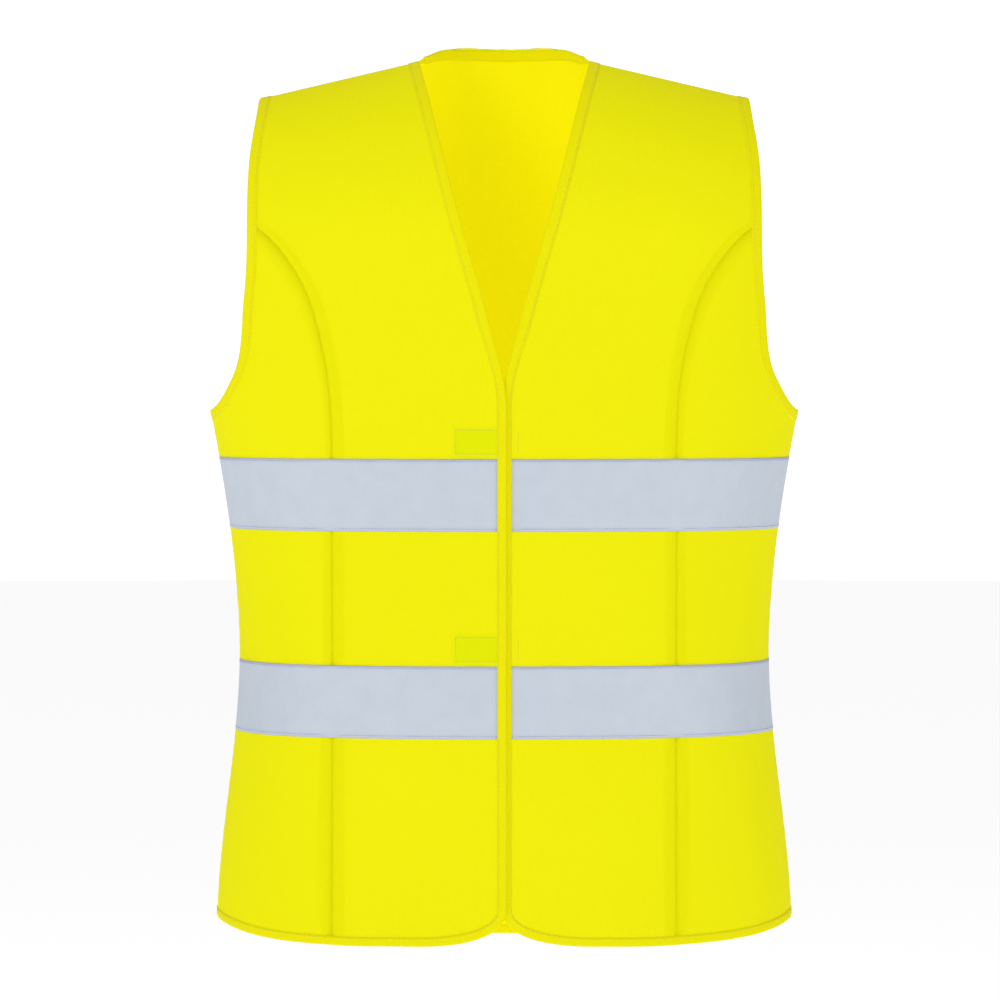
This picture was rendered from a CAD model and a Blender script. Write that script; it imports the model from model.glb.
# High visibility vest: every piece is a layer of one body form, worked out with numpy.
# Metres; +Z up, the wearer faces -Y, +X is the wearer's left; the origin lies between the neck points.
import math

import bmesh
import bpy
import numpy as np
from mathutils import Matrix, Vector


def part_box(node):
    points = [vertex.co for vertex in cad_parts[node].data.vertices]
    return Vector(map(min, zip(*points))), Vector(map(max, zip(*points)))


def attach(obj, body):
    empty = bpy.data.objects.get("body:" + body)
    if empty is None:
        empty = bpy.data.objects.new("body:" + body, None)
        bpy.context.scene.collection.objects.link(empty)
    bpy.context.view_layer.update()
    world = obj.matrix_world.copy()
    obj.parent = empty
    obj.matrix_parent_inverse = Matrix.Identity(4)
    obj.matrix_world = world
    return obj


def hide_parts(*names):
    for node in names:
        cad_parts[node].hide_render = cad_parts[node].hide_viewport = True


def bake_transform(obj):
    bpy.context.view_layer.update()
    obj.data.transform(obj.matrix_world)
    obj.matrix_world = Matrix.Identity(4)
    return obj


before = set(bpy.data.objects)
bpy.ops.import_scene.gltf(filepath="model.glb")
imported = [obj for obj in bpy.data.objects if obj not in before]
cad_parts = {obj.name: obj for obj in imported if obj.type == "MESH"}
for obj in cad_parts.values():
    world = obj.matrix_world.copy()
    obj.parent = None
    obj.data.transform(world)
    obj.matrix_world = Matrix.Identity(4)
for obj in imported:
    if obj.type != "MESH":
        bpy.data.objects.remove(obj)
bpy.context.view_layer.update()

MM = 0.001
QUARTER_TURN = math.pi / 2

# Body form, as the frame has it: half widths and the drops where they are measured
CHEST_HALF, WAIST_HALF, HEM_HALF = 0.207, 0.1865, 0.203
UNDERARM, WAIST, FRONT_HEM, SIDE_HEM, BACK_HEM = -0.244, -0.414, -0.612, -0.601, -0.626
CHEST_POWER, CHEST_EASE = 1.7, 0.3
BACK_DEPTH, ROLL_DEPTH = 0.088, 0.092
WAIST_HOLLOW, HOLLOW_SPREAD = 0.006, 0.110
SIDE_FULLNESS, SHOULDER_FULLNESS = 0.28, 0.12
NECK_POINT, NECK_HALF, SHOULDER_HALF, SHOULDER_FALL = 0.065, 0.060, 0.172, 0.025
YOKE, NECK_COLUMN, BACK_NECK, NECK_BOTTOM = -0.125, 0.110, 0.014, -0.238
YOKE_ARC = 0.12

# Roll line of each front, from the neckline to the hem
ROLL_TOP = np.array([0.0317, -0.107])
ROLL_FOOT = np.array([0.108, -0.612])

# Seams, bands and edges
SEAM_HALF, SEAM_STRAIGHT, SEAM_TOP = 0.119, -0.274, -0.113
SEAM_START, SEAM_END = SHOULDER_HALF + 0.0053, -0.70
SEAM_BAND, SEAM_BORDER = 0.0095, 0.0015
TAPE_WIDTH = 0.050
TAPE_NEAR, TAPE_FAR = 0.00032, 0.00062
TAPE_TOPS = {"upper": -0.2765, "lower": -0.419}
CORNER_RISE, CORNER_RUN = 0.026, 0.062
EDGE_BINDING, FRONT_BINDING, HEM_BINDING = 0.008, 0.0065, 0.0062
CENTRE_EDGE = -0.0015
LAP_DEPTH, LAP_REACH, LAP_RUN = 0.0012, 0.016, 0.012
CLOTH = 0.0005

# Stitches: pitch on edges, tapes and pads, inset from an edge, and height over the cloth
EDGE_PITCH, TAPE_PITCH, PAD_PITCH = 0.0030, 0.0026, 0.0024
BINDING_SHARE, STITCH_INSET = 0.82, 0.0018
BINDING_LIFT, TAPE_LIFT, CLOTH_LIFT = 0.00093, 0.00066, 0.00030

# Loop patches and hook tabs: depths of their faces and of their stitches under the form
LOOP_NEAR, LOOP_FAR, LOOP_STITCH = -0.0003, -0.0013, -0.0014
TAB_NEAR, TAB_DROP, TAB_THICKNESS, TAB_STITCH = -0.00035, 0.00145, 0.0007, -0.00112
HOOK_PITCH, HOOK_DEPTH = 0.0011, -0.0017

# Shares of the angle in the spacing of grid lines, and metres of map per radian and per binding
ACROSS_SHARE, DOWN_SHARE = 0.2, 0.03
MAP_SCALE, BINDING_GIRTH = 0.2, 0.018


# The body form


def half_width(z):
    """Half width at height z: a power curve from waist to underarm, a smooth step from waist to hem."""
    span = UNDERARM - WAIST
    up = np.clip((z - WAIST) / span, 0, 1)
    down = np.clip((WAIST - z) / (WAIST - FRONT_HEM), 0, 1)
    slope = CHEST_POWER * (CHEST_HALF - WAIST_HALF) / span
    ease = CHEST_EASE * span
    beyond = slope * ease * (1 - np.exp(-np.maximum(z - UNDERARM, 0) / ease))
    trunk = WAIST_HALF + (CHEST_HALF - WAIST_HALF) * up**CHEST_POWER + beyond
    return trunk + (HEM_HALF - WAIST_HALF) * down * down * (3 - 2 * down)


def roll_half(z):
    """Distance of the roll line from the centre at height z: a straight line."""
    slope = (ROLL_FOOT[0] - ROLL_TOP[0]) / (ROLL_TOP[1] - ROLL_FOOT[1])
    return ROLL_TOP[0] + slope * (ROLL_TOP[1] - z)


def roundness(theta):
    """Share of the full depth at the angle theta from the centre of a level section."""
    return np.cos(theta) * (1 + SIDE_FULLNESS * np.sin(theta) ** 2)


def front_depth(z):
    """Depth of the front that keeps the roll line straight."""
    level = np.minimum(z, YOKE)
    return ROLL_DEPTH / roundness(np.arcsin(roll_half(level) / half_width(level)))


def rear_depth(z):
    """Depth of the back, hollow at the waist by a bell curve."""
    return BACK_DEPTH - WAIST_HOLLOW * np.exp(-(((z - WAIST) / HOLLOW_SPREAD) ** 2))


def ridge(x, back):
    """Height of the shoulder line, with the neck's bell above it behind."""
    slope = SHOULDER_FALL / (SHOULDER_HALF - NECK_POINT)
    column = np.maximum(0, 1 - (x / NECK_HALF) ** 2) ** 2 if back else 0
    return slope * (NECK_POINT - np.abs(x)) + NECK_COLUMN * column


def drape(theta, v, back):
    """Slow swells of worn cloth, along the normal: a few sines that die out at the seams."""
    fade = np.cos(theta) ** 2 * np.clip((0.02 - v) / 0.1, 0, 1)
    phase = 1.3 if back else 0.0
    hem = np.clip((-v - 0.42) / 0.2, 0, 1)
    swell = 0.9 * np.sin(6.1 * theta + 9 * v + phase) * np.sin(11 * v + 0.7 + phase)
    swell = swell + 0.5 * np.sin(13 * theta - 17 * v + 2 * phase) + 1.3 * hem * np.sin(9.3 * theta + 5 * v)
    return MM * 1.2 * fade * swell


def lap_shift(x, side):
    """Depth by which the right front lies over the left one near the centre, by a smooth step."""
    near = np.clip((LAP_REACH - np.abs(x)) / LAP_RUN, 0, 1)
    return side * LAP_DEPTH * near * near * (3 - 2 * near)


def place(theta, v, back, lift=0.0, side=0):
    """Points at the angle theta from the centre and the drop v, lifted along the form's normal.
    Above the yoke, v is the arc of a quarter round that closes to the shoulder line."""

    def bare(t, w):
        level = np.minimum(w, YOKE)
        depth = rear_depth(level) if back else -front_depth(level)
        turn = np.maximum(w - YOKE, 0) / YOKE_ARC
        x = half_width(level) * np.sin(t)
        lean = np.cos(turn) * (1 + SHOULDER_FULLNESS * np.sin(turn) ** 2)
        z = np.where(w <= YOKE, w, YOKE + (ridge(x, back) - YOKE) * np.sin(turn))
        return np.stack([x, depth * roundness(t) * lean, z], -1)

    step = 1e-4
    at = bare(theta, v)
    top = YOKE + YOKE_ARC * QUARTER_TURN - 3 * step
    t = np.clip(theta, 3 * step - QUARTER_TURN, QUARTER_TURN - 3 * step)
    w = np.minimum(v, top)
    along = bare(t + step, w) - bare(t - step, w)
    up = bare(t, w + step) - bare(t, w - step)
    normal = np.cross(along, up) * (-1 if back else 1)
    normal /= np.linalg.norm(normal, axis=-1, keepdims=True)
    height = lift + drape(theta, v, back) + (lap_shift(at[..., 0], side) if side else 0)
    return at + normal * np.asarray(height)[..., None], normal


def chart(x, z, back):
    """Angle and drop on the form of points seen from the front at x and z."""
    level = np.minimum(z, YOKE)
    theta = np.arcsin(np.clip(x / half_width(level), -1, 1))
    rise = np.clip((z - YOKE) / (ridge(x, back) - YOKE), 0, 1)
    return np.stack([theta, np.where(z <= YOKE, z, YOKE + YOKE_ARC * np.arcsin(rise))], -1)


# Curves, seen from the front


def smooth(points, count, start=None, end=None):
    """Cubic Hermite curve through points, with end directions, at even steps of its length."""
    p = np.array(points, float)
    chord = np.linalg.norm(np.diff(p, axis=0), axis=1)
    knot = np.concatenate([[0], np.cumsum(chord)])
    slope = np.gradient(p, knot, axis=0, edge_order=1)
    if start is not None:
        slope[0] = np.array(start) / np.linalg.norm(start)
    if end is not None:
        slope[-1] = np.array(end) / np.linalg.norm(end)
    fine = np.linspace(0, knot[-1], 60 * len(p))
    i = np.clip(np.searchsorted(knot, fine, side="right") - 1, 0, len(p) - 2)
    h = chord[i][:, None]
    u = ((fine - knot[i])[:, None]) / h
    dense = p[i] * (2 * u**3 - 3 * u**2 + 1) + slope[i] * h * (u**3 - 2 * u**2 + u)
    dense = dense + p[i + 1] * (3 * u**2 - 2 * u**3) + slope[i + 1] * h * (u**3 - u**2)
    return even(dense, count)


def even(dense, count):
    """The same path at even steps of its length."""
    gone = np.concatenate([[0], np.cumsum(np.linalg.norm(np.diff(dense, axis=0), axis=1))])
    at = np.linspace(0, gone[-1], count)
    return np.stack([np.interp(at, gone, dense[:, k]) for k in range(dense.shape[1])], -1)


NECK_START = (NECK_HALF, 0.0012)
NECK_LOWER = (0.0120, -0.177)
HEM_MIDDLE = (0.115, FRONT_HEM)


def front_edge():
    """Neckline, centre front, corner and hem in one run, from the shoulder to the side."""
    meeting = (CENTRE_EDGE, NECK_BOTTOM)
    corner = (CENTRE_EDGE, FRONT_HEM + CORNER_RISE)
    foot = (CORNER_RUN, FRONT_HEM)
    neck = smooth([NECK_START, ROLL_TOP, NECK_LOWER, meeting], 90, (-0.3, -1), (-0.05, -1))
    down = smooth([meeting, corner], 90)
    bend = smooth([corner, foot], 60, (0, -1), (1, 0))
    hem = smooth([foot, HEM_MIDDLE, (HEM_HALF, SIDE_HEM)], 60, (1, 0), (1, 0.35))
    return even(np.concatenate([neck, down[1:], bend[1:], hem[1:]]), 420)


def armhole_edge():
    """Armhole from the shoulder tip to the underarm."""
    run, fall = CHEST_HALF - SHOULDER_HALF, -UNDERARM - SHOULDER_FALL
    share = np.array([[0, 0], [0.13, 0.2], [0.23, 0.64], [0.5, 0.9], [1, 1]])
    points = np.array([SHOULDER_HALF, -SHOULDER_FALL]) + share * np.array([run, -fall])
    return smooth(points, 140, (0, -1), (1, -0.45))


def panel_seam():
    """Curved seam from the armhole to the hem."""
    run, fall = SEAM_START - SEAM_HALF, SEAM_TOP - SEAM_STRAIGHT
    start = (SEAM_START, SEAM_TOP)
    turn = (SEAM_HALF + 0.36 * run, SEAM_TOP - 0.26 * fall)
    middle = (SEAM_HALF + 0.13 * run, SEAM_TOP - 0.51 * fall)
    straight = (SEAM_HALF, SEAM_STRAIGHT)
    curve = smooth([start, turn, middle, straight], 90, (-1, -0.55), (0, -1))
    return np.concatenate([curve, smooth([straight, (SEAM_HALF, SEAM_END)], 90)[1:]])


def back_neck_edge():
    """Back neckline from the centre to the shoulder."""
    share = np.array([[0, 1], [0.42, 1], [0.74, 0.86], [0.9, 0.43]])
    through = list(share * np.array([NECK_HALF, BACK_NECK])) + [np.array(NECK_START)]
    return smooth(through, 80, (1, 0), (0.7, -0.7))


def back_hem_edge():
    """Back hem from the centre to the side."""
    return smooth([(0, BACK_HEM), (HEM_HALF, SIDE_HEM)], 90, (1, 0), (1, 0.35))


def shoulder_line(count=40):
    """Left shoulder seam, on top of the form, from the neck to the shoulder tip."""
    x = np.linspace(NECK_HALF, SHOULDER_HALF, count)
    return np.stack([np.arcsin(x / half_width(YOKE)), np.full(count, YOKE + YOKE_ARC * QUARTER_TURN)], -1)


def cut_at(curve, level):
    """The stretch of a curve above a height, ending on it."""
    inside = curve[curve[:, 1] > level]
    after = curve[curve[:, 1] <= level][0]
    share = (inside[-1, 1] - level) / (inside[-1, 1] - after[1])
    return np.concatenate([inside, [inside[-1] + share * (after - inside[-1])]])


# Meshes


def add_mesh(name, points, faces, material, uv=None, tone=None, inside=None, backed=None):
    """Object at the origin from points and faces, with map coordinates and shades per point:
    tone over a seam allowance, inside on the wearer's side, backed where a patch lies behind."""
    mesh = bpy.data.meshes.new(name)
    mesh.from_pydata(points.reshape(-1, 3).tolist(), [], faces.tolist())
    corner = np.empty(len(mesh.loops), dtype=np.int32)
    mesh.loops.foreach_get("vertex_index", corner)
    if uv is not None:
        layer = mesh.uv_layers.new(name="UVMap")
        layer.data.foreach_set("uv", uv.reshape(-1, 2)[corner].astype(np.float32).ravel())
    for attribute, values in (("tone", tone), ("inside", inside), ("backed", backed)):
        shade = np.zeros(len(mesh.vertices)) if values is None else values
        layer = mesh.attributes.new(attribute, "FLOAT", "POINT")
        layer.data.foreach_set("value", shade.astype(np.float32).ravel())
    mesh.polygons.foreach_set("use_smooth", np.ones(len(mesh.polygons), dtype=bool))
    mesh.materials.append(material)
    mesh.update()
    obj = bpy.data.objects.new(name, mesh)
    bpy.context.collection.objects.link(obj)
    return obj


def grid_faces(rows, columns, wrap=False, base=0, flip=False):
    """Quads of a grid of points in rows; wrap joins the last column to the first."""
    i, j = np.meshgrid(np.arange(rows - 1), np.arange(columns if wrap else columns - 1), indexing="ij")
    k = (j + 1) % columns
    quad = np.stack([i * columns + j, i * columns + k, (i + 1) * columns + k, (i + 1) * columns + j], -1)
    quad = quad.reshape(-1, 4) + base
    return quad[:, ::-1] if flip else quad


def closed_sheet(name, outer, inner, material, uv, tone, backed=None):
    """Closed thin shell: an outer and an inner grid of points, joined round their rim. Its faces
    look outwards: the grid's own normals are compared with the way from the inner to the outer."""
    rows, columns = outer.shape[:2]
    grid_normals = np.cross(np.diff(outer, axis=1)[:-1], np.diff(outer, axis=0)[:, :-1])
    flip = (grid_normals * (outer - inner)[:-1, :-1]).sum() < 0
    count = rows * columns
    faces = [grid_faces(rows, columns, flip=flip), grid_faces(rows, columns, base=count, flip=not flip)]
    index = np.arange(count).reshape(rows, columns)
    rim = np.concatenate([index[0, :-1], index[:-1, -1], index[-1, :0:-1], index[:0:-1, 0]])
    after = np.roll(rim, -1)
    wall = np.stack([after, rim, rim + count, after + count], -1)
    faces.append(wall[:, ::-1] if flip else wall)
    points = np.concatenate([outer.reshape(-1, 3), inner.reshape(-1, 3)])
    maps = np.concatenate([uv.reshape(-1, 2)] * 2)
    shades = np.concatenate([tone.ravel()] * 2)
    inside = np.concatenate([np.zeros(count), np.ones(count)])
    behind = None if backed is None else np.concatenate([backed.ravel(), np.zeros(count)])
    return add_mesh(name, points, np.concatenate(faces), material, maps, shades, inside, behind)


def spaced(path, count, share):
    """Points of a path on the form at even steps of drop, plus a share of the angle across."""
    scale = np.array([share, 1.0])
    return even(path * scale, count) / scale


def relaxed(grid, rounds=120):
    """The grid with each inner point moved to the mean of its neighbours, again and again."""
    grid = grid.copy()
    for _ in range(rounds):
        across = grid[1:-1, :-2] + grid[1:-1, 2:]
        grid[1:-1, 1:-1] = (across + grid[:-2, 1:-1] + grid[2:, 1:-1]) / 4
    return grid


def patch_between(top, bottom, left, right):
    """Coons patch, relaxed: the blend of four boundary curves less the blend of their corners."""
    t = np.linspace(0, 1, len(left))[:, None, None]
    s = np.linspace(0, 1, len(top))[None, :, None]
    edges = (1 - t) * top[None] + t * bottom[None] + (1 - s) * left[:, None] + s * right[:, None]
    corners = (1 - t) * ((1 - s) * top[0] + s * top[-1]) + t * ((1 - s) * bottom[0] + s * bottom[-1])
    return relaxed(edges - corners)


def coons(top, bottom, left, right, rows, columns):
    """Patch between four curves on the form, each spaced anew by drop and a share of the angle."""
    top, bottom = spaced(top, columns, ACROSS_SHARE), spaced(bottom, columns, ACROSS_SHARE)
    left, right = spaced(left, rows, DOWN_SHARE), spaced(right, rows, DOWN_SHARE)
    return patch_between(top, bottom, left, right)


def backed_share(points, boxes):
    """How far each point lies over one of the boxes across x and z, with soft borders 3 mm wide."""
    share = np.zeros(points.shape[:-1])
    for low, high in boxes:
        reach = np.minimum(points - low, high - points)[..., [0, 2]].min(-1)
        share = np.maximum(share, np.clip(reach / 0.003 + 0.5, 0, 1))
    return share


def seam_dip(gap):
    """Depth of the cloth's groove at a distance from a seam: a narrow bell."""
    return -0.0007 * np.exp(-((gap / 0.0022) ** 2))


def seam_tone(gap):
    """Darker shade over the allowance, darkest in the groove."""
    return np.clip((SEAM_BAND - gap) / SEAM_BORDER, 0, 1) * 0.5 + np.exp(-((gap / 0.0012) ** 2)) * 0.3


def cloth_panel(name, boundary, back, side, rows, columns, borders, flip, boxes=()):
    """Panel of cloth between four curves on the form. It dips into the seams along the borders, the
    first or last column of its grid, rises over the allowances and puckers by a wavering sine."""
    grid = coons(*boundary, rows, columns)
    theta, v = grid[..., 0], grid[..., 1]
    if flip:
        theta = -theta
    middle, _ = place(theta, v, back, 0.0, side)
    gaps = [np.linalg.norm(middle - middle[:, column, None], axis=-1) for column in borders]
    gap = np.min(gaps, axis=0)
    rise = seam_dip(gap) + 0.00025 * np.exp(-(((gap - 0.005) / 0.003) ** 2))
    pucker = 0.00014 * np.exp(-gap / 0.010) * np.sin(v * 560 + 3 * np.sin(v * 90))
    outer, _ = place(theta, v, back, CLOTH / 2 + rise + pucker, side)
    inner, _ = place(theta, v, back, -CLOTH / 2 + rise + pucker, side)
    uv = np.stack([theta * MAP_SCALE, v], -1)
    return closed_sheet(name, outer, inner, yellow_knit, uv, seam_tone(gap), backed_share(middle, boxes))


def tape_band(name, theta, v, top, back, side, rise):
    """Tape from its top height down by its width: sewn edges ripple and are lilac."""
    from_edge = np.minimum(top - v, v - (top - TAPE_WIDTH))
    ripple = 0.00012 * np.exp(-from_edge / 0.006) * np.sin(theta * 330)
    outer, _ = place(theta, v, back, TAPE_FAR + ripple + rise, side)
    inner, _ = place(theta, v, back, TAPE_NEAR + ripple + rise, side)
    tone = np.clip((0.0022 - from_edge) / 0.0008, 0, 1) * 0.55
    uv = np.stack([theta * MAP_SCALE, v], -1)
    return closed_sheet(name, outer, inner, silver_tape, uv, tone)


def inward(chart_path, back, side, distance, towards):
    """The path moved sideways over the form by a distance in metres. The step in angle and drop
    solves the two normal equations of the form's slopes along each."""
    step = 1e-4
    theta, v = chart_path[:, 0], chart_path[:, 1]
    at, normal = place(theta, v, back, 0.0, side)
    across = np.cross(normal, np.gradient(at, axis=0))
    across /= np.linalg.norm(across, axis=1, keepdims=True) + 1e-12
    across *= towards * (-1 if back else 1)
    along_t = (place(theta + step, v, back)[0] - place(theta - step, v, back)[0]) / (2 * step)
    along_v = (place(theta, v, back)[0] - place(theta, v - step, back)[0]) / step
    a, b, c = (along_t**2).sum(1), (along_t * along_v).sum(1), (along_v**2).sum(1)
    p, q = (along_t * across).sum(1), (along_v * across).sum(1)
    size = np.maximum(a * c - b * b, 1e-9)
    move = np.stack([(c * p - b * q) / size, (a * q - b * p) / size], -1)
    return chart_path + np.clip(move * distance, -0.4, 0.4)


# Section of a folded binding: share of its width from the edge, and height in millimetres
BINDING_PROFILE = np.array([
    [1.00, 0.42], [0.99, 0.72], [0.75, 0.86], [0.42, 0.98], [0.16, 1.02], [0.05, 0.86], [0.0, 0.45],
    [0.0, -0.45], [0.05, -0.86], [0.16, -1.02], [0.42, -0.98], [0.75, -0.86], [0.99, -0.72], [1.00, -0.42],
])


def binding_rows(chart_path, back, side, width, towards):
    """Rows of points of a folded strip round an edge: its rounded section carried along the path."""
    count = np.arange(len(chart_path))
    wave = 1 + 0.05 * np.sin(count * 0.9) * np.sin(count * 0.13)
    rows = []
    for reach, height in BINDING_PROFILE:
        moved = inward(chart_path, back, side, reach * width, towards)
        rows.append(place(moved[:, 0], moved[:, 1], back, height * MM * wave, side)[0])
    return np.stack(rows, 1)


def tube_mesh(name, sections, material, tone=0.1):
    """Closed tube from sections of points, its ends capped by one face each."""
    rows, columns = sections.shape[:2]
    faces = grid_faces(rows, columns, wrap=True)
    length = np.concatenate([[0], np.cumsum(np.linalg.norm(np.diff(sections[:, 0], axis=0), axis=1))])
    girth = np.linspace(0, BINDING_GIRTH, columns)
    uv = np.stack(np.broadcast_arrays(girth[None, :], length[:, None]), -1)
    obj = add_mesh(name, sections, faces, material, uv, np.full(rows * columns, tone))
    work = bmesh.new()
    work.from_mesh(obj.data)
    bmesh.ops.holes_fill(work, edges=[e for e in work.edges if e.is_boundary], sides=0)
    bmesh.ops.recalc_face_normals(work, faces=work.faces)
    work.to_mesh(obj.data)
    work.free()
    return obj


def mirrored(chart_path):
    """The same path on the wearer's right."""
    return chart_path * [-1, 1]


# Stitches


def stitch_set(name, runs, material, length=0.0021, radius=0.00026):
    """Many short stitches in one mesh. Each is a six-sided bead of five rings that taper to its
    ends, along the run's direction."""
    ring = np.arange(6) / 6 * 2 * math.pi
    stations = np.array([[-0.5, 0.0], [-0.32, 0.9], [0.0, 1.0], [0.32, 0.9], [0.5, 0.0]])
    starts, ways, ups = (np.concatenate(part) for part in zip(*runs))
    sides = np.cross(ways, ups)
    rings = []
    for along, size in stations:
        centre = starts + ways * (along * length)
        for angle in ring:
            spoke = sides * math.cos(angle) + ups * math.sin(angle)
            rings.append(centre + spoke * (radius * max(size, 0.15)))
    count = len(starts)
    points = np.stack(rings, 1)
    face = grid_faces(5, 6, wrap=True)
    caps = np.array([[0, 1, 2, 3], [0, 3, 4, 5], [27, 26, 25, 24], [29, 28, 27, 24]])
    face = np.concatenate([face, caps])
    every = (face[None] + (np.arange(count) * 30)[:, None, None]).reshape(-1, 4)
    return add_mesh(name, points, every, material)


def stitch_run(chart_path, back, side, lift, pitch=EDGE_PITCH):
    """Places, directions and normals of stitches at an even pitch along a path on the form."""
    at, normal = place(chart_path[:, 0], chart_path[:, 1], back, lift, side)
    gone = np.concatenate([[0], np.cumsum(np.linalg.norm(np.diff(at, axis=0), axis=1))])
    stops = np.arange(pitch / 2, gone[-1], pitch)
    spot = np.stack([np.interp(stops, gone, at[:, k]) for k in range(3)], -1)
    ahead = np.stack([np.interp(stops + 0.0004, gone, at[:, k]) for k in range(3)], -1)
    behind = np.stack([np.interp(stops - 0.0004, gone, at[:, k]) for k in range(3)], -1)
    up = np.stack([np.interp(stops, gone, normal[:, k]) for k in range(3)], -1)
    way = ahead - behind
    way /= np.linalg.norm(way, axis=1, keepdims=True)
    up -= way * (up * way).sum(1, keepdims=True)
    up /= np.linalg.norm(up, axis=1, keepdims=True)
    return spot, way, up


# Materials

PATCH_GREEN = (0.66, 0.72, 0.001)
INNER_GOLD = (0.79, 0.735, 0.002)


def new_material(name):
    """Empty node material with its shader."""
    material = bpy.data.materials.new(name)
    material.use_nodes = True
    nodes, links = material.node_tree.nodes, material.node_tree.links
    return material, nodes, links, nodes["Principled BSDF"]


def blended_colour(nodes, links, first, second, factor):
    """Mix of two colours by a factor socket."""
    mix = nodes.new("ShaderNodeMix")
    mix.data_type = "RGBA"
    mix.inputs[6].default_value = (*first, 1)
    mix.inputs[7].default_value = (*second, 1)
    links.new(factor, mix.inputs[0])
    return mix.outputs[2]


def knit(name, light, deep, glow, pitch, depth, rough=0.85):
    """Warp-knit polyester: fine ribs crossed by courses as bump, slow colour drift, a darker
    shade over seam allowances, a greener one over patches, and a warmer glow inside, where the
    fluorescent cloth lights itself."""
    material, nodes, links, shader = new_material(name)
    place_map = nodes.new("ShaderNodeUVMap")
    place_map.uv_map = "UVMap"
    ribs = nodes.new("ShaderNodeTexWave")
    ribs.wave_type = "BANDS"
    ribs.bands_direction = "X"
    ribs.inputs["Scale"].default_value = 0.31 / pitch
    ribs.inputs["Distortion"].default_value = 0.6
    ribs.inputs["Detail"].default_value = 1.0
    courses = nodes.new("ShaderNodeTexWave")
    courses.wave_type = "BANDS"
    courses.bands_direction = "Y"
    courses.inputs["Scale"].default_value = 0.31 / (pitch * 0.8)
    courses.inputs["Distortion"].default_value = 0.8
    for wave in (ribs, courses):
        links.new(place_map.outputs[0], wave.inputs["Vector"])
    weave = nodes.new("ShaderNodeMath")
    weave.operation = "MULTIPLY"
    links.new(ribs.outputs["Fac"], weave.inputs[0])
    links.new(courses.outputs["Fac"], weave.inputs[1])
    drift = nodes.new("ShaderNodeTexNoise")
    drift.inputs["Scale"].default_value = 9.0
    drift.inputs["Detail"].default_value = 3.0
    spot = nodes.new("ShaderNodeTexCoord")
    links.new(spot.outputs["Object"], drift.inputs["Vector"])
    shade = nodes.new("ShaderNodeAttribute")
    shade.attribute_name = "tone"
    soft = nodes.new("ShaderNodeMath")
    soft.operation = "MULTIPLY_ADD"
    soft.inputs[1].default_value = 0.16
    soft.use_clamp = True
    links.new(drift.outputs["Fac"], soft.inputs[0])
    links.new(shade.outputs["Fac"], soft.inputs[2])
    hollow = nodes.new("ShaderNodeMath")
    hollow.operation = "MULTIPLY_ADD"
    hollow.inputs[1].default_value = -0.10
    hollow.use_clamp = True
    links.new(weave.outputs[0], hollow.inputs[0])
    links.new(soft.outputs[0], hollow.inputs[2])
    colour = blended_colour(nodes, links, light, deep, hollow.outputs[0])
    for attribute, target, share in (("backed", PATCH_GREEN, 0.8), ("inside", INNER_GOLD, 0.85)):
        where = nodes.new("ShaderNodeAttribute")
        where.attribute_name = attribute
        part = nodes.new("ShaderNodeMath")
        part.operation = "MULTIPLY"
        part.inputs[1].default_value = share
        links.new(where.outputs["Fac"], part.inputs[0])
        mix = nodes.new("ShaderNodeMix")
        mix.data_type = "RGBA"
        mix.inputs[7].default_value = (*target, 1)
        links.new(part.outputs[0], mix.inputs[0])
        links.new(colour, mix.inputs[6])
        colour = mix.outputs[2]
    power = nodes.new("ShaderNodeMath")
    power.operation = "MULTIPLY_ADD"
    power.inputs[1].default_value = 0.11
    power.inputs[2].default_value = glow
    links.new(where.outputs["Fac"], power.inputs[0])
    links.new(colour, shader.inputs["Base Color"])
    links.new(colour, shader.inputs["Emission Color"])
    links.new(power.outputs[0], shader.inputs["Emission Strength"])
    shader.inputs["Roughness"].default_value = rough
    shader.inputs["Specular IOR Level"].default_value = 0.04
    shader.inputs["Sheen Weight"].default_value = 0.08
    shader.inputs["Sheen Tint"].default_value = (1.0, 0.95, 0.1, 1)
    bump = nodes.new("ShaderNodeBump")
    bump.inputs["Strength"].default_value = depth
    bump.inputs["Distance"].default_value = 0.0002
    links.new(weave.outputs[0], bump.inputs["Height"])
    links.new(bump.outputs[0], shader.inputs["Normal"])
    return material


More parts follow.
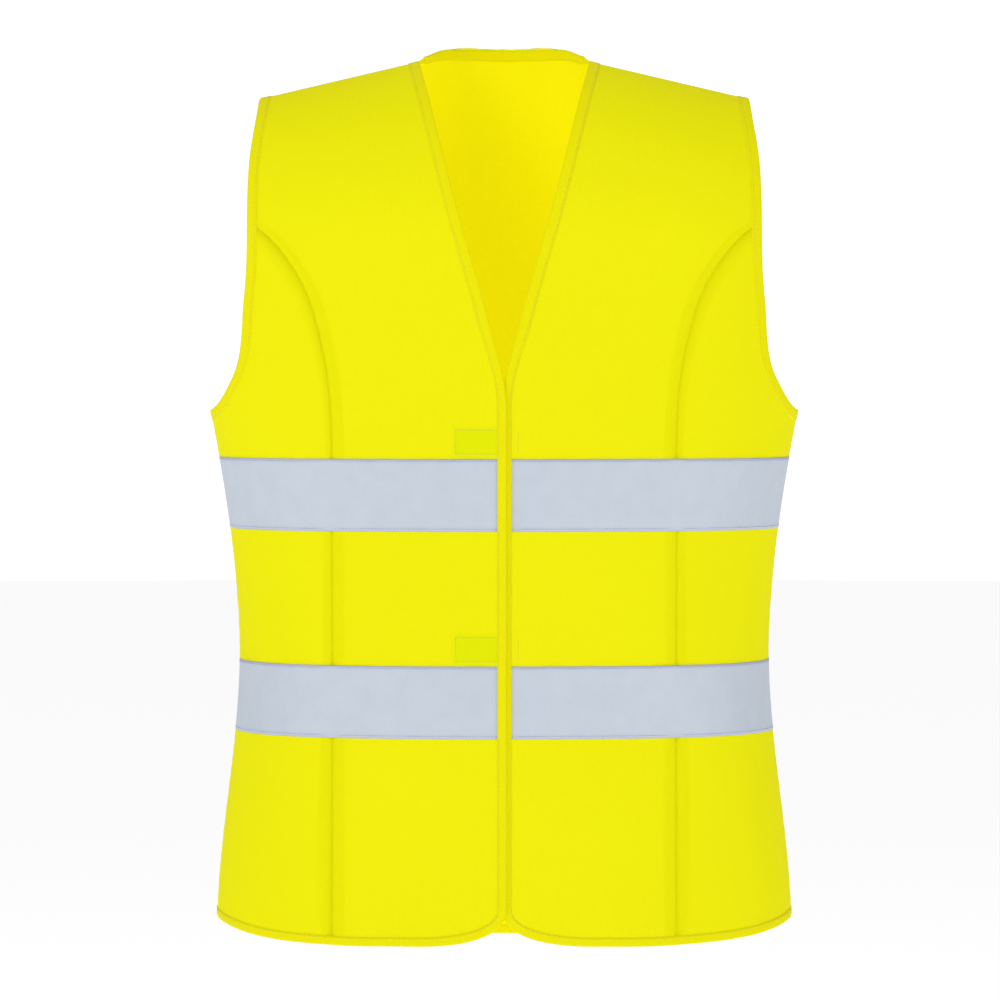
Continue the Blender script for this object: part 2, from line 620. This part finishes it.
def beaded(name, light, deep, lilac):
    """Retro-reflective tape: silver with fine glass-bead grain, faint cross lines of its woven
    ground, and a lilac edge where the tone attribute says that it is sewn."""
    material, nodes, links, shader = new_material(name)
    place_map = nodes.new("ShaderNodeUVMap")
    place_map.uv_map = "UVMap"
    grain = nodes.new("ShaderNodeTexVoronoi")
    grain.inputs["Scale"].default_value = 2600.0
    weave = nodes.new("ShaderNodeTexWave")
    weave.bands_direction = "X"
    weave.inputs["Scale"].default_value = 420.0
    weave.inputs["Distortion"].default_value = 0.4
    drift = nodes.new("ShaderNodeTexNoise")
    drift.inputs["Scale"].default_value = 60.0
    drift.inputs["Detail"].default_value = 4.0
    for texture in (grain, weave, drift):
        links.new(place_map.outputs[0], texture.inputs["Vector"])
    total = nodes.new("ShaderNodeMath")
    total.operation = "MULTIPLY"
    links.new(grain.outputs["Distance"], total.inputs[0])
    links.new(drift.outputs["Fac"], total.inputs[1])
    silver = blended_colour(nodes, links, light, deep, total.outputs[0])
    shade = nodes.new("ShaderNodeAttribute")
    shade.attribute_name = "tone"
    edge = nodes.new("ShaderNodeMix")
    edge.data_type = "RGBA"
    edge.inputs[7].default_value = (*lilac, 1)
    links.new(shade.outputs["Fac"], edge.inputs[0])
    links.new(silver, edge.inputs[6])
    links.new(edge.outputs[2], shader.inputs["Base Color"])
    shader.inputs["Metallic"].default_value = 0.12
    shader.inputs["Roughness"].default_value = 0.55
    bump = nodes.new("ShaderNodeBump")
    bump.inputs["Strength"].default_value = 0.25
    bump.inputs["Distance"].default_value = 0.0001
    height = nodes.new("ShaderNodeMath")
    height.operation = "ADD"
    links.new(grain.outputs["Distance"], height.inputs[0])
    links.new(weave.outputs["Fac"], height.inputs[1])
    links.new(height.outputs[0], bump.inputs["Height"])
    links.new(bump.outputs[0], shader.inputs["Normal"])
    return material


def thread(name, light, deep):
    """Spun thread: two shades twisted by a diagonal wave."""
    material, nodes, links, shader = new_material(name)
    spot = nodes.new("ShaderNodeTexCoord")
    twist = nodes.new("ShaderNodeTexWave")
    twist.bands_direction = "DIAGONAL"
    twist.inputs["Scale"].default_value = 900.0
    links.new(spot.outputs["Object"], twist.inputs["Vector"])
    links.new(blended_colour(nodes, links, light, deep, twist.outputs["Fac"]), shader.inputs["Base Color"])
    shader.inputs["Roughness"].default_value = 0.6
    shader.inputs["Sheen Weight"].default_value = 0.2
    return material


def pile(name, light, deep, scale, rough):
    """Hook or loop ground: speckled by fine cells, with matching bump."""
    material, nodes, links, shader = new_material(name)
    spot = nodes.new("ShaderNodeTexCoord")
    cells = nodes.new("ShaderNodeTexVoronoi")
    cells.inputs["Scale"].default_value = scale
    links.new(spot.outputs["Object"], cells.inputs["Vector"])
    colour = blended_colour(nodes, links, light, deep, cells.outputs["Distance"])
    links.new(colour, shader.inputs["Base Color"])
    shader.inputs["Roughness"].default_value = rough
    shader.inputs["Sheen Weight"].default_value = 0.3
    bump = nodes.new("ShaderNodeBump")
    bump.inputs["Strength"].default_value = 0.6
    bump.inputs["Distance"].default_value = 0.0003
    links.new(cells.outputs["Distance"], bump.inputs["Height"])
    links.new(bump.outputs[0], shader.inputs["Normal"])
    return material


yellow_knit = knit("yellow_knit", (0.775, 0.745, 0.0035), (0.70, 0.675, 0.001), 0.19, 0.0011, 0.35)
binding_weave = knit("binding_weave", (0.78, 0.73, 0.002), (0.69, 0.64, 0.001), 0.19, 0.0007, 0.5, 0.7)
silver_tape = beaded("silver_tape", (0.63, 0.69, 0.78), (0.50, 0.56, 0.65), (0.44, 0.46, 0.70))
yellow_thread = thread("yellow_thread", (0.86, 0.83, 0.01), (0.66, 0.63, 0.01))
lilac_thread = thread("lilac_thread", (0.50, 0.54, 0.76), (0.36, 0.40, 0.62))
loop_pile = pile("loop_pile", (0.80, 0.84, 0.02), (0.62, 0.70, 0.02), 1400.0, 0.95)
hook_ground = pile("hook_ground", (0.74, 0.78, 0.03), (0.50, 0.56, 0.03), 900.0, 0.45)
label_satin = pile("label_satin", (0.88, 0.88, 0.86), (0.78, 0.78, 0.77), 2200.0, 0.35)

# Sides: the wearer's left is drawn; the right is its mirror image, and laps over it in front

SIDES = {
    "left": {"flip": False, "side": -1, "body": "left_front"},
    "right": {"flip": True, "side": 1, "body": "right_front"},
}


def roll_with_front(piece):
    """Let a piece of one front turn smoothly across the roll line with the moving part."""
    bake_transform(piece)


def on_front(curve):
    """A flat curve's angles and drops on the front."""
    return chart(curve[:, 0], curve[:, 1], False)


def on_back(curve):
    """A flat curve's angles and drops on the back."""
    return chart(curve[:, 0], curve[:, 1], True)


def side_seam(top, bottom, count=120):
    """Side seam, at the widest line of the form."""
    return np.stack([np.full(count, QUARTER_TURN), np.linspace(top, bottom, count)], -1)


arm_curve = armhole_edge()
seam_curve = panel_seam()
seam_start = int(np.argmin(np.abs(arm_curve[:, 1] - SEAM_TOP)))
arm_upper, arm_lower = arm_curve[: seam_start + 1], arm_curve[seam_start:]
seam_front = cut_at(seam_curve, FRONT_HEM + 0.0005)
seam_front[0] = arm_curve[seam_start]
hem_back_curve = back_hem_edge()
back_split = int(np.argmin(np.abs(hem_back_curve[:, 0] - SEAM_HALF)))
seam_back = cut_at(seam_curve, hem_back_curve[back_split, 1] + 0.0002)
seam_back[0] = arm_curve[seam_start]

patch_boxes = [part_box(f"{place_name}_loop_patch") for place_name in TAPE_TOPS]
patch_boxes = [(np.array(low), np.array(high)) for low, high in patch_boxes]

tape_end = CENTRE_EDGE + FRONT_BINDING * 0.9

for label, spec in SIDES.items():
    flip, side = spec["flip"], spec["side"]
    towards = -1 if flip else 1
    run = front_edge()
    hem_side = np.where((run[:, 1] < FRONT_HEM + 0.02) & (run[:, 0] > SEAM_HALF))[0][0]
    corner_turn = np.where((run[:, 1] < FRONT_HEM + 0.0085) & (run[:, 0] < 0.05))[0][0]
    neck_run, hem_run = run[: corner_turn + 1], run[corner_turn : hem_side + 1]
    seam_here = seam_front.copy()
    seam_here[-1] = run[hem_side]

    centre_right = np.concatenate([on_front(arm_upper), on_front(seam_here)[1:]])
    centre = cloth_panel(
        f"centre_front_{label}",
        (shoulder_line(), on_front(hem_run), on_front(neck_run), centre_right),
        False, side, 200, 64, (-1,), flip, patch_boxes if flip else (),
    )
    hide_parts(f"front_shoulder_panel_{label}", f"front_flap_{label}")
    roll_with_front(centre)

    side_front = cloth_panel(
        f"side_front_{label}",
        (on_front(arm_lower), on_front(run[hem_side:]), on_front(seam_here), side_seam(UNDERARM, SIDE_HEM)),
        False, 0, 120, 36, (0, -1), flip,
    )
    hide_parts(f"front_side_panel_{label}")
    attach(side_front, "root")

    side_back = cloth_panel(
        f"side_back_{label}",
        (
            on_back(arm_lower), on_back(hem_back_curve[back_split:]), on_back(seam_back),
            side_seam(UNDERARM, SIDE_HEM),
        ),
        True, 0, 120, 34, (0, -1), flip,
    )
    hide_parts(f"back_side_panel_{label}")
    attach(side_back, "root")

    # Binding of the neckline, centre front, corner and hem
    edge_path = on_front(run)
    edge_path = mirrored(edge_path) if flip else edge_path
    drop = run[:, 1]
    width = np.where(drop > -0.2, EDGE_BINDING, FRONT_BINDING)
    low = np.clip((run[:, 0] - 0.02) / 0.03, 0, 1) * (drop < -0.55)
    width = width * (1 - low) + HEM_BINDING * low
    width = np.convolve(np.pad(width, 12, mode="edge"), np.ones(25) / 25, mode="valid")
    sections = binding_rows(edge_path, False, side, width[:, None], towards)
    binding = tube_mesh(f"front_edge_binding_{label}", sections, binding_weave)
    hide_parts(f"flap_binding_{label}")
    roll_with_front(binding)

    line = inward(edge_path, False, side, (width * BINDING_SHARE)[:, None], towards)
    lines = [stitch_run(line, False, side, BINDING_LIFT)]
    stitches = stitch_set(f"front_edge_stitching_{label}", lines, yellow_thread)
    roll_with_front(stitches)

    # Binding of the armhole, front and back in one loop
    front_arm = on_front(arm_curve)
    back_arm = on_back(arm_curve)[::-1]
    if flip:
        front_arm, back_arm = mirrored(front_arm), mirrored(back_arm)
    front_rows = binding_rows(front_arm, False, 0, EDGE_BINDING, -towards)
    back_rows = binding_rows(back_arm, True, 0, EDGE_BINDING, towards)
    loop = np.concatenate([front_rows[:-1], back_rows])
    armhole = tube_mesh(f"armhole_edge_binding_{label}", loop, binding_weave)
    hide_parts(f"armhole_binding_{label}")
    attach(armhole, "root")
    stitch_inset = EDGE_BINDING * BINDING_SHARE
    lines = [
        stitch_run(inward(front_arm, False, 0, stitch_inset, -towards), False, 0, BINDING_LIFT),
        stitch_run(inward(back_arm, True, 0, stitch_inset, towards), True, 0, BINDING_LIFT),
    ]
    arm_stitches = stitch_set(f"armhole_stitching_{label}", lines, yellow_thread)
    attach(arm_stitches, "root")

    # Seam allowances, pressed towards the centre on the inside of the curved seams
    front_seam, back_seam = on_front(seam_here)[2:-8], on_back(seam_back)[2:-8]
    if flip:
        front_seam, back_seam = mirrored(front_seam), mirrored(back_seam)
    for half, path, back in (("front", front_seam, False), ("back", back_seam, True)):
        reaches = np.linspace(0.0, 0.0088, 6)
        strips = [inward(path, back, 0, max(reach, 0.0004), -towards) for reach in reaches]
        theta, v = np.moveaxis(np.stack(strips, 1), -1, 0)
        level = -0.00045 - 0.0006 * np.exp(-((reaches[None, :] / 0.0022) ** 2))
        outer, _ = place(theta, v, back, level)
        inner, _ = place(theta, v, back, level - 0.00045)
        uv = np.stack([theta * MAP_SCALE, v], -1)
        name = f"{half}_seam_allowance_{label}"
        shade = np.full(theta.shape, 0.4)
        allowance = closed_sheet(name, outer, inner, yellow_knit, uv, shade)
        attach(allowance, "root")

    # Tapes over the front, from the side seam to the centre front
    tape_lines = []
    for place_name, top in TAPE_TOPS.items():
        levels = np.linspace(top, top - TAPE_WIDTH, 26)
        first = np.arcsin(tape_end / half_width(levels))[:, None]
        theta = first + (QUARTER_TURN - first) * np.linspace(0, 1, 72)[None, :]
        v = np.broadcast_to(levels[:, None], theta.shape)
        theta = -theta if flip else theta
        from_seam = np.abs(np.sin(theta)) * half_width(v) - SEAM_HALF
        rise = 0.00035 * np.exp(-((from_seam / 0.006) ** 2))
        band = tape_band(f"{place_name}_front_tape_{label}", theta, v, top, False, side, rise)
        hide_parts(f"{place_name}_tape_side_{label}", f"{place_name}_tape_flap_{label}")
        roll_with_front(band)
        for level in (top - STITCH_INSET, top - TAPE_WIDTH + STITCH_INSET):
            start = math.asin(tape_end / float(half_width(np.array(level))))
            path = np.stack([np.linspace(start, QUARTER_TURN, 200), np.full(200, level)], -1)
            path = mirrored(path) if flip else path
            tape_lines.append(stitch_run(path, False, side, TAPE_LIFT, TAPE_PITCH))
    tape_stitches = stitch_set(f"front_tape_stitching_{label}", tape_lines, lilac_thread)
    roll_with_front(tape_stitches)

# Back: centre panel, tapes, neck and hem bindings

neck_back = on_back(back_neck_edge())
neck_whole = np.concatenate([mirrored(neck_back)[::-1], neck_back[1:]])
hem_centre = on_back(hem_back_curve[: back_split + 1])
hem_centre_whole = np.concatenate([mirrored(hem_centre)[::-1], hem_centre[1:]])
shoulder_left = shoulder_line()
side_whole = np.concatenate([on_back(arm_upper), on_back(seam_back)[1:]])


def back_grid(rows, columns):
    """Coons patch whose top follows the neck over the middle share of the columns, and the
    shoulders beyond it."""
    x = np.linspace(-1, 1, columns)
    reach = np.abs(x)
    split = 0.36
    neck_at = np.minimum(reach / split, 1)
    neck_knots = np.linspace(0, 1, len(neck_back))
    out = np.clip((reach - split) / (1 - split), 0, 1)
    line_theta = np.interp(out, np.linspace(0, 1, len(shoulder_left)), shoulder_left[:, 0])
    inside = reach <= split
    top_theta = np.where(inside, np.interp(neck_at, neck_knots, neck_back[:, 0]), line_theta)
    top_v = np.where(inside, np.interp(neck_at, neck_knots, neck_back[:, 1]), shoulder_left[0, 1])
    top = np.stack([np.sign(x) * top_theta, top_v], -1)
    bottom = spaced(hem_centre_whole, columns, ACROSS_SHARE)
    right = spaced(side_whole, rows, DOWN_SHARE)
    return patch_between(top, bottom, mirrored(right), right)


grid = back_grid(170, 101)
theta, v = grid[..., 0], grid[..., 1]
middle, _ = place(theta, v, True)
gap = np.min([np.linalg.norm(middle - middle[:, column, None], axis=-1) for column in (0, -1)], axis=0)
outer, _ = place(theta, v, True, CLOTH / 2 + seam_dip(gap))
inner, _ = place(theta, v, True, -CLOTH / 2 + seam_dip(gap))
uv = np.stack([theta * MAP_SCALE, v], -1)
centre_back = closed_sheet("centre_back", outer, inner, yellow_knit, uv, seam_tone(gap))
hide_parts("back_centre_panel")
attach(centre_back, "root")

neck_rows = binding_rows(neck_whole, True, 0, EDGE_BINDING, -1)
neck_binding = tube_mesh("back_neck_binding", neck_rows, binding_weave)
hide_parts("neck_binding")
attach(neck_binding, "root")

hem_left = on_back(hem_back_curve)
hem_whole = np.concatenate([mirrored(hem_left)[::-1], hem_left[1:]])
hem_rows = binding_rows(hem_whole, True, 0, HEM_BINDING, 1)
hem_piece = tube_mesh("back_hem_binding", hem_rows, binding_weave)
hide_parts("hem_binding")
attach(hem_piece, "root")

edge_lines = [
    stitch_run(inward(neck_whole, True, 0, EDGE_BINDING * BINDING_SHARE, -1), True, 0, BINDING_LIFT),
    stitch_run(inward(hem_whole, True, 0, HEM_BINDING * BINDING_SHARE, 1), True, 0, BINDING_LIFT),
]
edge_stitches = stitch_set("back_edge_stitching", edge_lines, yellow_thread)
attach(edge_stitches, "root")

back_lines = []
for place_name, top in TAPE_TOPS.items():
    levels = np.linspace(top, top - TAPE_WIDTH, 26)[:, None]
    theta = np.linspace(-QUARTER_TURN, QUARTER_TURN, 130)[None, :] + 0 * levels
    v = levels + 0 * theta
    band = tape_band(f"{place_name}_back_tape", theta, v, top, True, 0, 0)
    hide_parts(f"{place_name}_tape_back")
    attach(band, "root")
    for level in (top - STITCH_INSET, top - TAPE_WIDTH + STITCH_INSET):
        path = np.stack([np.linspace(-QUARTER_TURN, QUARTER_TURN, 400), np.full(400, level)], -1)
        back_lines.append(stitch_run(path, True, 0, TAPE_LIFT, TAPE_PITCH))
back_tape_stitches = stitch_set("back_tape_stitching", back_lines, lilac_thread)
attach(back_tape_stitches, "root")

# Closure: loop patches inside the right front, hook tabs on the left front


def pad_on_form(name, x_range, z_range, near, far, side, material, bumps):
    """Thin pad on the form's inside between two depths per point, its faces roughened by bumps."""
    low, high = sorted(x_range)
    x, z = np.meshgrid(np.linspace(low, high, 84), np.linspace(z_range[1], z_range[0], 40))
    angle = chart(x, z, False)
    edge = np.minimum(np.minimum(x - low, high - x), np.minimum(z - z_range[0], z_range[1] - z))
    round_off = np.clip(edge / 0.0012, 0, 1) ** 0.5
    rough = bumps * np.sin(x * 5200) * np.sin(z * 4700) * round_off
    outer, _ = place(angle[..., 0], angle[..., 1], False, near(x), side)
    depth = near(x) + (far(x) - near(x)) * (0.45 + 0.55 * round_off) + rough
    inner, _ = place(angle[..., 0], angle[..., 1], False, depth, side)
    uv = np.stack([x, z], -1)
    return closed_sheet(name, outer, inner, material, uv, np.zeros(x.shape))


def tab_level(x):
    """Depth of a hook tab's outer face: on the left front's cloth, and behind the loops past it."""
    share = np.clip((0.005 - x) / 0.010, 0, 1)
    return TAB_NEAR - TAB_DROP * share * share * (3 - 2 * share)


def hook_studs(x_range, z_range, lift, side):
    """Places, normals and cross directions of hook stems on a square grid."""
    x, z = np.meshgrid(np.arange(*x_range, HOOK_PITCH), np.arange(*z_range, HOOK_PITCH))
    angle = chart(x.ravel(), z.ravel(), False)
    at, normal = place(angle[:, 0], angle[:, 1], False, lift, side)
    across = np.cross(normal, [0.0, 0.0, 1.0])
    across /= np.linalg.norm(across, axis=1, keepdims=True)
    return at, normal, across


def frame_lines(x_range, z_range, lift, side):
    """Four stitch lines round a pad."""
    x0, x1 = x_range[0] + STITCH_INSET, x_range[1] - STITCH_INSET
    z0, z1 = z_range[0] + STITCH_INSET, z_range[1] - STITCH_INSET
    corners = [(x0, z0), (x1, z0), (x1, z1), (x0, z1), (x0, z0)]
    lines = []
    for first, last in zip(corners[:-1], corners[1:]):
        path = on_front(np.linspace(first, last, 40))
        lines.append(stitch_run(path, False, side, lift, PAD_PITCH))
    return lines


for place_name in TAPE_TOPS:
    low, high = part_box(f"{place_name}_loop_patch")
    span_x, span_z = (low[0], high[0]), (low[2], high[2])
    patch = pad_on_form(
        f"{place_name}_loop_pad", span_x, span_z, lambda x: LOOP_NEAR + 0 * x,
        lambda x: LOOP_FAR + 0 * x, 1, loop_pile, 0.00012,
    )
    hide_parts(f"{place_name}_loop_patch")
    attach(patch, "right_front")
    lines = frame_lines(span_x, span_z, CLOTH_LIFT, 1) + frame_lines(span_x, span_z, LOOP_STITCH, 1)
    sewn = stitch_set(f"{place_name}_loop_stitching", lines, yellow_thread)
    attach(sewn, "right_front")

    low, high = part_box(f"{place_name}_hook_tab")
    span_x, span_z = (low[0], high[0]), (low[2], high[2])
    tab = pad_on_form(
        f"{place_name}_hook_strip", span_x, span_z, tab_level,
        lambda x: tab_level(x) - TAB_THICKNESS, -1, hook_ground, 0.00003,
    )
    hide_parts(f"{place_name}_hook_tab")
    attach(tab, "left_front")
    hook_x, hook_z = (span_x[0] + 0.002, -0.006), (span_z[0] + 0.002, span_z[1] - 0.002)
    stems = hook_studs(hook_x, hook_z, HOOK_DEPTH, -1)
    studs = stitch_set(f"{place_name}_hooks", [stems], hook_ground, 0.0005, 0.00016)
    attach(studs, "left_front")
    lines = []
    for place_x in (0.003, 0.0095):
        line = on_front(np.linspace((place_x, span_z[1] - 0.002), (place_x, span_z[0] + 0.002), 30))
        lines.append(stitch_run(line, False, -1, CLOTH_LIFT, PAD_PITCH))
        lines.append(stitch_run(line, False, -1, TAB_STITCH, PAD_PITCH))
    tab_sewing = stitch_set(f"{place_name}_hook_stitching", lines, yellow_thread)
    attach(tab_sewing, "left_front")

# Blank care label inside the left side seam

LABEL_ANGLES = (1.262, 1.530)

low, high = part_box("care_label")
theta, v = np.meshgrid(np.linspace(*LABEL_ANGLES, 20), np.linspace(high[2], low[2], 40))
curl = 0.0012 * ((high[2] - v) / (high[2] - low[2])) ** 2
outer, _ = place(theta, v, True, -0.0011 - curl)
inner, _ = place(theta, v, True, -0.0013 - curl)
label_piece = closed_sheet(
    "blank_care_label", outer, inner, label_satin, np.stack([theta * 0.1, v], -1), np.zeros(v.shape),
)
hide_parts("care_label")
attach(label_piece, "root")

# Floor, lights and camera

FLOOR_LEVEL, FLOOR_RADIUS, FLOOR_SIDES = -1.05, 14.0, 96
CAMERA_PLACE, CAMERA_TARGET = (-0.003, -3.30, -0.202), (-0.003, 0, -0.3076)
LENS_PER_SENSOR = 4.67

spokes = np.linspace(0, 2 * math.pi, FLOOR_SIDES, endpoint=False)
rim = FLOOR_RADIUS * np.stack([np.cos(spokes), np.sin(spokes), 0 * spokes], -1)
rim[:, 2] = FLOOR_LEVEL
paper, nodes, links, shader = new_material("pale_paper")
shader.inputs["Base Color"].default_value = (0.95, 0.95, 0.95, 1)
shader.inputs["Roughness"].default_value = 0.9
shader.inputs["Emission Color"].default_value = (1, 1, 1, 1)
shader.inputs["Emission Strength"].default_value = 0.55
floor = add_mesh("floor", rim, np.arange(FLOOR_SIDES)[None, :], paper)


def soft_light(name, place_at, target, size, power):
    """Square area light aimed at a point."""
    data = bpy.data.lights.new(name, "AREA")
    data.size = size
    data.energy = power
    lamp = bpy.data.objects.new(name, data)
    lamp.location = place_at
    lamp.rotation_euler = (Vector(target) - Vector(place_at)).to_track_quat("-Z", "Y").to_euler()
    bpy.context.collection.objects.link(lamp)


soft_light("key_light", (-1.9, -2.2, 1.5), (0, 0, -0.3), 1.8, 26)
soft_light("fill_light", (2.1, -2.3, 0.2), (0, 0, -0.3), 2.2, 13)
soft_light("top_light", (0.0, 0.6, 2.0), (0, 0, -0.2), 1.6, 8)

# White all round for the camera, and a dimmer white for the light that it gives
world = bpy.data.worlds.new("studio")
bpy.context.scene.world = world
world.use_nodes = True
nodes, links = world.node_tree.nodes, world.node_tree.links
ray = nodes.new("ShaderNodeLightPath")
brightness = nodes.new("ShaderNodeMath")
brightness.operation = "MULTIPLY_ADD"
brightness.inputs[1].default_value = 0.70
brightness.inputs[2].default_value = 0.42
links.new(ray.outputs["Is Camera Ray"], brightness.inputs[0])
nodes["Background"].inputs[0].default_value = (1, 1, 1, 1)
links.new(brightness.outputs[0], nodes["Background"].inputs[1])
bpy.context.scene.view_settings.view_transform = "Standard"

camera_data = bpy.data.cameras.new("camera")
camera_data.sensor_width = 36.0
camera_data.lens = LENS_PER_SENSOR * camera_data.sensor_width
camera = bpy.data.objects.new("camera", camera_data)
camera.location = CAMERA_PLACE
view = Vector(CAMERA_TARGET) - camera.location
camera.rotation_euler = view.to_track_quat("-Z", "Y").to_euler()
bpy.context.collection.objects.link(camera)
bpy.context.scene.camera = camera

bpy.context.view_layer.update()
